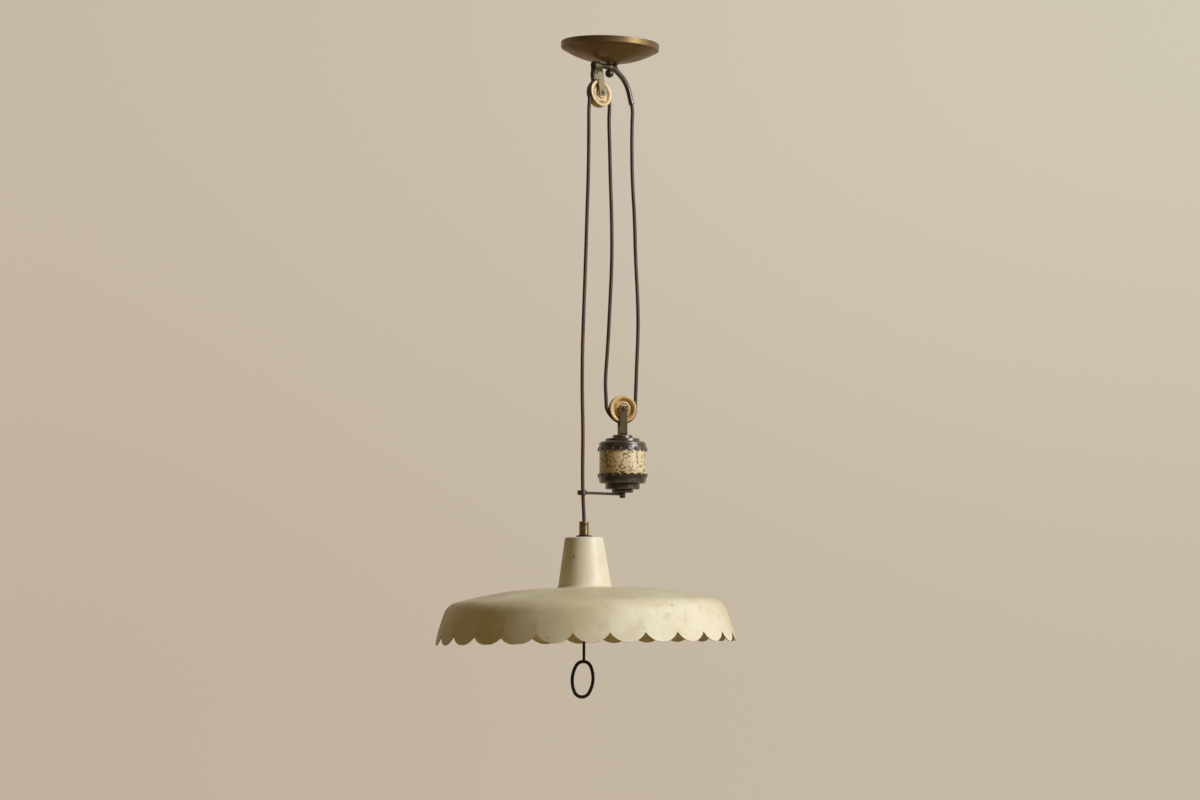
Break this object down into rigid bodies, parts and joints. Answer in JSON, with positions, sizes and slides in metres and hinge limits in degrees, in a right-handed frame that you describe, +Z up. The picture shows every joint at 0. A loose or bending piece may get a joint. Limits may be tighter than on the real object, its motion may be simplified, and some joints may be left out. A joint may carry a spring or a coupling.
{
  "type": "rise and fall pendant lamp",
  "caption": "Ceiling pendant whose wide scalloped shade is drawn up and down against a counterweight on pulleys.",
  "frame": {"origin": "on the ceiling, on the axis of the ceiling plate", "axes": "+Z up, +X to the right and +Y away as seen from the front"},
  "size_m": [0.4542, 0.4548, 1.0059],
  "materials": {
    "steel": "zinc plated, dull",
    "antique_brass_plate": "antique bronze satin",
    "antique_brass": "aged brass",
    "dark_bronze": "oil rubbed bronze",
    "black_rubber": "matt black",
    "porcelain": "glazed white",
    "brown_flex": "dark brown round flex",
    "ivory_pulley": "aged ivory, polished",
    "cream_print": "cream with dark flecks",
    "iron": "raw casting",
    "cream_paint": "aged cream paint on spun metal",
    "opal_glass": "opal"
  },
  "bodies": {
    "ceiling": {"mounting_strap": "steel", "stem": "steel", "stem_nuts": "steel", "canopy": "antique_brass_plate", "canopy_washer": "antique_brass", "cord_bush": "black_rubber", "terminal_block": "porcelain", "block_screw": "steel", "arm_tube": "dark_bronze", "feed_cord": "brown_flex", "end_plug": "black_rubber", "stem_collar": "antique_brass", "ball_finial": "dark_bronze", "ceiling_fork": "antique_brass_plate", "fork_rivet": "steel", "ceiling_axle": "steel", "cord_loop": "brown_flex"},
    "ceiling_pulley": {"ceiling_pulley": "ivory_pulley", "ceiling_bush": "antique_brass"},
    "counterweight": {"weight_top_cap": "dark_bronze", "weight_bottom_cap": "dark_bronze", "weight_sleeve": "cream_print", "weight_core": "iron", "weight_rod": "steel", "weight_rod_nut": "steel", "weight_fork": "dark_bronze", "weight_axle": "steel", "guide_arm": "dark_bronze", "weight_nut": "dark_bronze"},
    "weight_pulley": {"weight_pulley": "ivory_pulley", "weight_bush": "antique_brass"},
    "lamp": {"cord_grip": "antique_brass", "grip_washer": "black_rubber", "centre_pipe": "steel", "lock_nut": "steel", "shade": "cream_paint", "cluster_body": "antique_brass", "cluster_lid": "antique_brass", "pull_rod_nut": "steel", "bulb_holder_1": "antique_brass", "holder_insert_1": "porcelain", "bulb_cap_1": "steel", "bulb_glass_1": "opal_glass", "bulb_holder_2": "antique_brass", "holder_insert_2": "porcelain", "bulb_cap_2": "steel", "bulb_glass_2": "opal_glass", "bulb_holder_3": "antique_brass", "holder_insert_3": "porcelain", "bulb_cap_3": "steel", "bulb_glass_3": "opal_glass", "pull_ring": "dark_bronze", "pull_rod": "dark_bronze", "lamp_cord": "brown_flex"}
  },
  "joints": [
    {"name": "lamp_slide", "type": "slide", "parent": "ceiling", "child": "lamp", "axis": [0, 0, 1], "range_m": [-0.75, 0.025], "deforming": ["lamp_cord", "cord_loop"]},
    {"name": "weight_slide", "type": "slide", "parent": "ceiling", "child": "counterweight", "axis": [0.018, 0.0148, 0.9997], "range_m": [-0.0125, 0.375]},
    {"name": "ceiling_pulley_spin", "type": "hinge", "parent": "ceiling", "child": "ceiling_pulley", "pos_m": [-0.01577, -0.02388, -0.08193], "axis": [-0.6609, 0.734, -0.1564], "continuous": true},
    {"name": "weight_pulley_spin", "type": "hinge", "parent": "counterweight", "child": "weight_pulley", "pos_m": [0.02, 0.013, -0.564], "axis": [-0.225, 0.9744, 0], "continuous": true}
  ],
  "couplings": [
    {"joint": "weight_slide", "follows": "lamp_slide", "ratio": -0.5},
    {"joint": "ceiling_pulley_spin", "follows": "lamp_slide", "rad_per_m": 49.261},
    {"joint": "weight_pulley_spin", "follows": "lamp_slide", "rad_per_m": -24.631}
  ]
}
